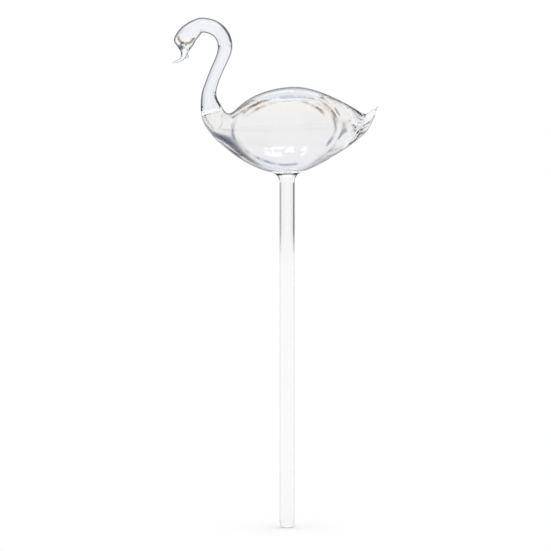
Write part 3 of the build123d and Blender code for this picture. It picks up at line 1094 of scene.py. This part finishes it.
along, aside, up = (parts.outputs[axis] for axis in ("X", "Y", "Z"))
flat_length = room_math("SQRT", less(room_math("MULTIPLY", up, up)))
corner = room_math("DIVIDE", room_math("ABSOLUTE", room_math(
    "SUBTRACT", room_math("ABSOLUTE", along), room_math("ABSOLUTE", aside)
)), flat_length)
dark_corner = less(room_step(corner, CORNER_SPAN))
below_ceiling = less(room_step(up, CEILING_SPAN))
tail_side = room_step(along, TAIL_SIDE_SPAN)
raised = room_step(up, RAISED_SPAN)
low_dark = less(room_math("MULTIPLY", tail_side, TAIL_SIDE_LOSS))
high_dark = room_math("ADD", HEAD_SIDE_DARK, room_math("MULTIPLY", tail_side, 1 - HEAD_SIDE_DARK))
above_eye = room_math("MULTIPLY", room_step(up, EYE_SPAN), ABOVE_EYE_LOSS)
low_dark = room_math("MULTIPLY", low_dark, less(above_eye))
low_share = room_math("MULTIPLY", low_dark, less(raised))
high_share = room_math("MULTIPLY", high_dark, raised)
dark = room_math("MULTIPLY", dark_corner, below_ceiling)
dark = room_math("MULTIPLY", dark, room_math("ADD", low_share, high_share))
dark = room_math("MULTIPLY", dark, room_step(up, FLOOR_LINE_SPAN))

tones = room.nodes.new("ShaderNodeValToRGB")
set_tones(tones, DARK_TONES)
room.links.new(up, tones.inputs["Fac"])

lateral = room_math("MINIMUM", room_math("ABSOLUTE", along), room_math("ABSOLUTE", aside))
patches = room.nodes.new("ShaderNodeTexNoise")
patches.inputs["Scale"].default_value = WINDOW_PATCH_SCALE
room.links.new(way.outputs["Generated"], patches.inputs["Vector"])
window = room_math("SUBTRACT", room_step(up, WINDOW_SILL_SPAN), room_step(up, WINDOW_TOP_SPAN))
window = room_math("MULTIPLY", window, less(room_step(lateral, WINDOW_SIDE_SPAN)))
window = room_math("MULTIPLY", window, room_step(patches.outputs["Fac"], WINDOW_PATCH_SPAN))
path = room.nodes.new("ShaderNodeLightPath")
bright_level = room_math("ADD", 1.0, room_math("MULTIPLY", window, WINDOW_GLOW))
mirrored = room_math("SUBTRACT", path.outputs["Is Glossy Ray"], path.outputs["Is Transmission Ray"])
mirrored = room_math("MULTIPLY", room_math("MAXIMUM", mirrored, 0.0), MIRROR_LOSS)
bright_level = room_math("SUBTRACT", bright_level, mirrored)

bright = room.nodes.new("ShaderNodeCombineColor")
for channel in ("Red", "Green", "Blue"):
    room.links.new(bright_level, bright.inputs[channel])
seen_by_glass = room.nodes.new("ShaderNodeMix")
seen_by_glass.data_type = "RGBA"
room.links.new(dark, seen_by_glass.inputs["Factor"])
room.links.new(bright.outputs["Color"], seen_by_glass.inputs["A"])
room.links.new(tones.outputs["Color"], seen_by_glass.inputs["B"])

plain = room_math("MAXIMUM", path.outputs["Is Camera Ray"], path.outputs["Is Diffuse Ray"])
shown = room.nodes.new("ShaderNodeMix")
shown.data_type = "RGBA"
room.links.new(plain, shown.inputs["Factor"])
room.links.new(seen_by_glass.outputs["Result"], shown.inputs["A"])
shown.inputs["B"].default_value = WHITE
room.links.new(shown.outputs["Result"], background.inputs["Color"])
background.inputs["Strength"].default_value = 1.0


# The floor
# A plain pale sheet under the stem. It shows as white as the room, and keeps the shadow.
FLOOR_HALF = 3.0
FLOOR_GAP = 0.0002
PALE = (0.82, 0.82, 0.82, 1)
FLOOR_GLOW = 0.20

start_piece()
bpy.ops.mesh.primitive_plane_add(size=2 * FLOOR_HALF, location=(0, 0, -FLOOR_GAP))
bpy.ops.object.transform_apply()
floor = bpy.context.object
floor.name = "floor"
paper = bpy.data.materials.new("pale_paper")
paper.use_nodes = True
sheet = paper.node_tree
matt = sheet.nodes["Principled BSDF"]
matt.inputs["Base Color"].default_value = PALE
matt.inputs["Roughness"].default_value = 1.0
matt.inputs["Specular IOR Level"].default_value = 0.0
matt.inputs["Emission Color"].default_value = WHITE
floor_path = sheet.nodes.new("ShaderNodeLightPath")
seen = sheet.nodes.new("ShaderNodeMath")
seen.operation = "SUBTRACT"
seen.inputs[0].default_value = 1.0
sheet.links.new(floor_path.outputs["Is Diffuse Ray"], seen.inputs[1])
glow = sheet.nodes.new("ShaderNodeMath")
glow.operation = "MULTIPLY"
glow.inputs[1].default_value = FLOOR_GLOW
sheet.links.new(seen.outputs["Value"], glow.inputs[0])
sheet.links.new(glow.outputs["Value"], matt.inputs["Emission Strength"])
wear(floor, paper)


# The camera
# It stands before the swan's side and a little above it, far enough for a flat perspective. Its light
# paths are long, because a ray crosses many skins of glass and water.
CAMERA_DISTANCE = 1.8
CAMERA_HEIGHT = 0.2226
FRAME_WIDTH = 0.2893
AIM = Vector((-0.0061, 0, 0.1328))
SKINS_CROSSED = 24
SEAMS_CROSSED = 32

camera_data = bpy.data.cameras.new("camera")
camera = bpy.data.objects.new("camera", camera_data)
bpy.context.scene.collection.objects.link(camera)
bpy.context.scene.camera = camera
camera.location = (AIM.x, -CAMERA_DISTANCE, CAMERA_HEIGHT)
camera.rotation_mode = "QUATERNION"
camera.rotation_quaternion = (AIM - camera.location).to_track_quat("-Z", "Y")
camera_data.lens = camera_data.sensor_width * CAMERA_DISTANCE / FRAME_WIDTH

bpy.context.scene.view_settings.view_transform = "Standard"
bpy.context.scene.cycles.max_bounces = SKINS_CROSSED
bpy.context.scene.cycles.transmission_bounces = SKINS_CROSSED
bpy.context.scene.cycles.transparent_max_bounces = SEAMS_CROSSED
